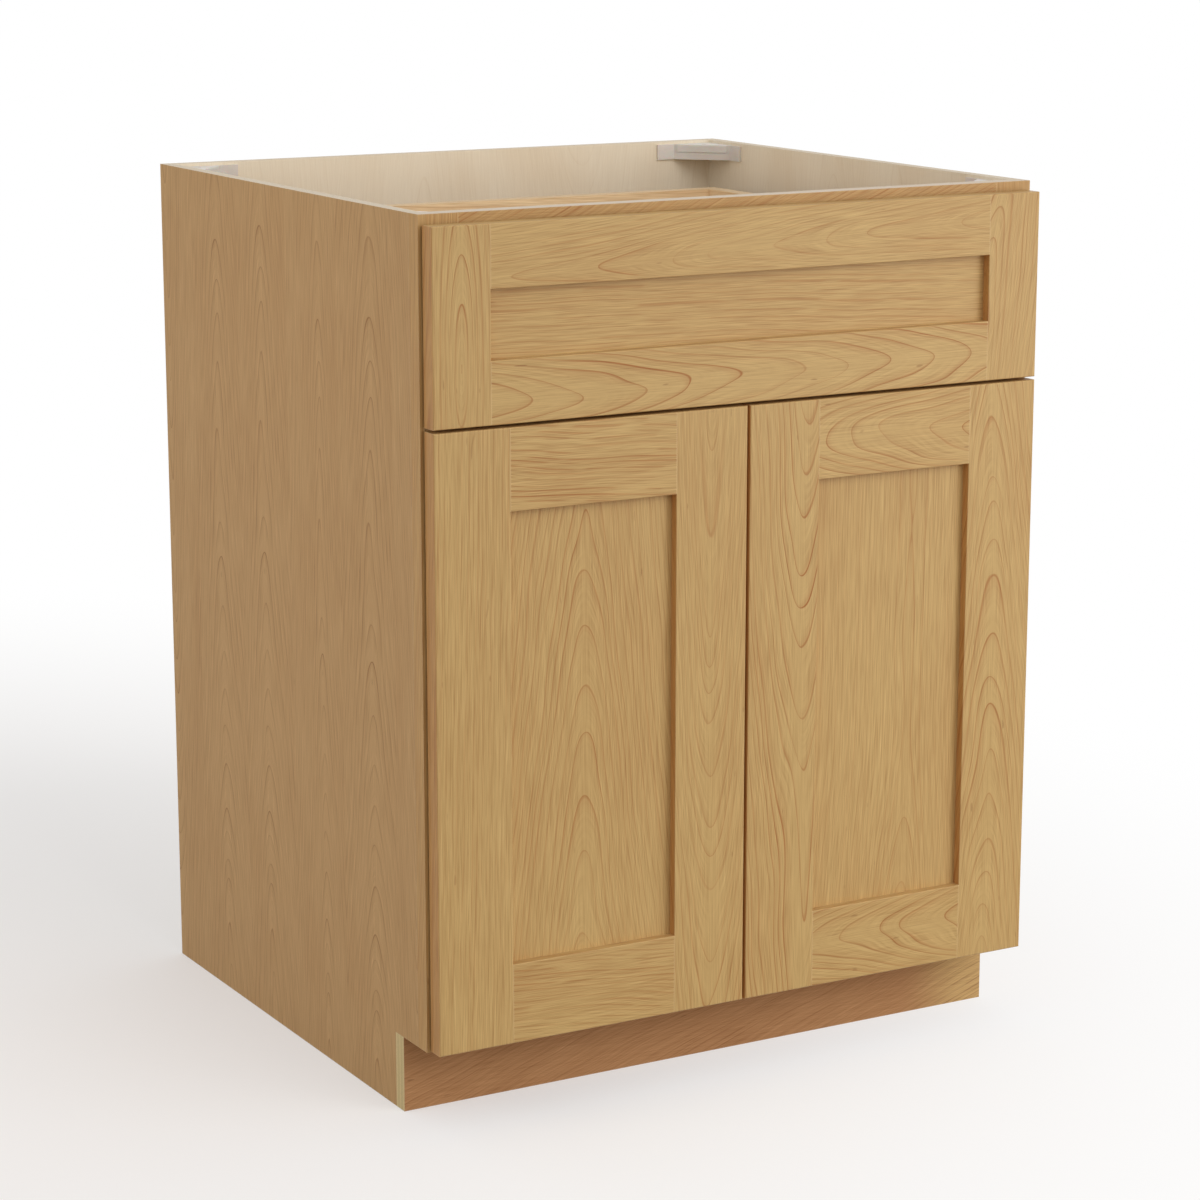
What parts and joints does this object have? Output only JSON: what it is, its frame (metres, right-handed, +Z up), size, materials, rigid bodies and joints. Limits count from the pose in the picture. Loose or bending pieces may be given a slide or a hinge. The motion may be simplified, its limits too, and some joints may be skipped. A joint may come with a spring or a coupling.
{
  "type": "kitchen base cabinet",
  "caption": "Kitchen base cabinet with a face frame, a drawer on undermount slides over a pair of framed flat-panel doors, a shelf and a toe kick.",
  "frame": {"origin": "on the floor, at the middle of the cabinet's width and of its depth with the fronts", "axes": "+Z up, +Y from the fronts to the wall, +X to the right seen from the front"},
  "size_m": [0.6858, 0.631, 0.8763],
  "materials": {
    "front_wood": "satin clear finish",
    "face_frame_wood": "satin clear finish",
    "side_plywood": "satin veneer",
    "pale_plywood": "clear coated plywood",
    "toe_board": "satin veneer",
    "drawer_wood": "clear coated solid wood",
    "plated_steel": "zinc plated",
    "brace_plastic": "translucent white",
    "nylon": "grey moulded",
    "rubber": "soft clear pad"
  },
  "bodies": {
    "case": {"side_panel_left": "side_plywood", "side_panel_right": "side_plywood", "back_panel": "pale_plywood", "bottom_panel": "pale_plywood", "toe_kick_board": "toe_board", "face_stile_left": "face_frame_wood", "face_stile_right": "face_frame_wood", "face_rail_top": "face_frame_wood", "face_rail_middle": "face_frame_wood", "face_rail_bottom": "face_frame_wood", "shelf": "pale_plywood", "shelf_pegs": "plated_steel", "corner_braces": "brace_plastic", "hinge_arms_left": "plated_steel", "hinge_arms_right": "plated_steel", "slide_cabinet_rail_left": "plated_steel", "slide_cabinet_rail_right": "plated_steel", "slide_front_glides": "nylon", "slide_rear_brackets": "nylon"},
    "slide_middle": {"slide_middle_rail_left": "plated_steel", "slide_middle_rail_right": "plated_steel", "slide_middle_glides": "nylon"},
    "drawer": {"drawer_side_left": "drawer_wood", "drawer_side_right": "drawer_wood", "drawer_box_front": "drawer_wood", "drawer_box_back": "drawer_wood", "drawer_bottom": "drawer_wood", "drawer_clips": "nylon", "slide_drawer_rail_left": "plated_steel", "slide_drawer_rail_right": "plated_steel", "slide_drawer_glides": "nylon", "drawer_front_stile_left": "front_wood", "drawer_front_stile_right": "front_wood", "drawer_front_rail_bottom": "front_wood", "drawer_front_rail_top": "front_wood", "drawer_front_panel": "front_wood", "drawer_bumpers": "rubber"},
    "door_left": {"door_left_hinge_stile": "front_wood", "door_left_free_stile": "front_wood", "door_left_bottom_rail": "front_wood", "door_left_top_rail": "front_wood", "door_left_panel": "front_wood", "door_left_hinge_cups": "plated_steel", "door_left_hinge_pins": "plated_steel", "door_left_bumpers": "rubber"},
    "door_right": {"door_right_hinge_stile": "front_wood", "door_right_free_stile": "front_wood", "door_right_bottom_rail": "front_wood", "door_right_top_rail": "front_wood", "door_right_panel": "front_wood", "door_right_hinge_cups": "plated_steel", "door_right_hinge_pins": "plated_steel", "door_right_bumpers": "rubber"}
  },
  "joints": [
    {"name": "drawer_slide", "type": "slide", "parent": "case", "child": "drawer", "axis": [0, -1, 0], "range_m": [0, 0.52]},
    {"name": "slide_middle_run", "type": "slide", "parent": "case", "child": "slide_middle", "axis": [0, -1, 0], "range_m": [0, 0.26]},
    {"name": "door_left_swing", "type": "hinge", "parent": "case", "child": "door_left", "pos_m": [-0.33294, -0.30652, 0.3777], "axis": [0, 0, -1], "range_deg": [0, 105]},
    {"name": "door_right_swing", "type": "hinge", "parent": "case", "child": "door_right", "pos_m": [0.33294, -0.30652, 0.3777], "axis": [0, 0, 1], "range_deg": [0, 105]}
  ],
  "couplings": [
    {"joint": "slide_middle_run", "follows": "drawer_slide", "ratio": 0.5}
  ]
}
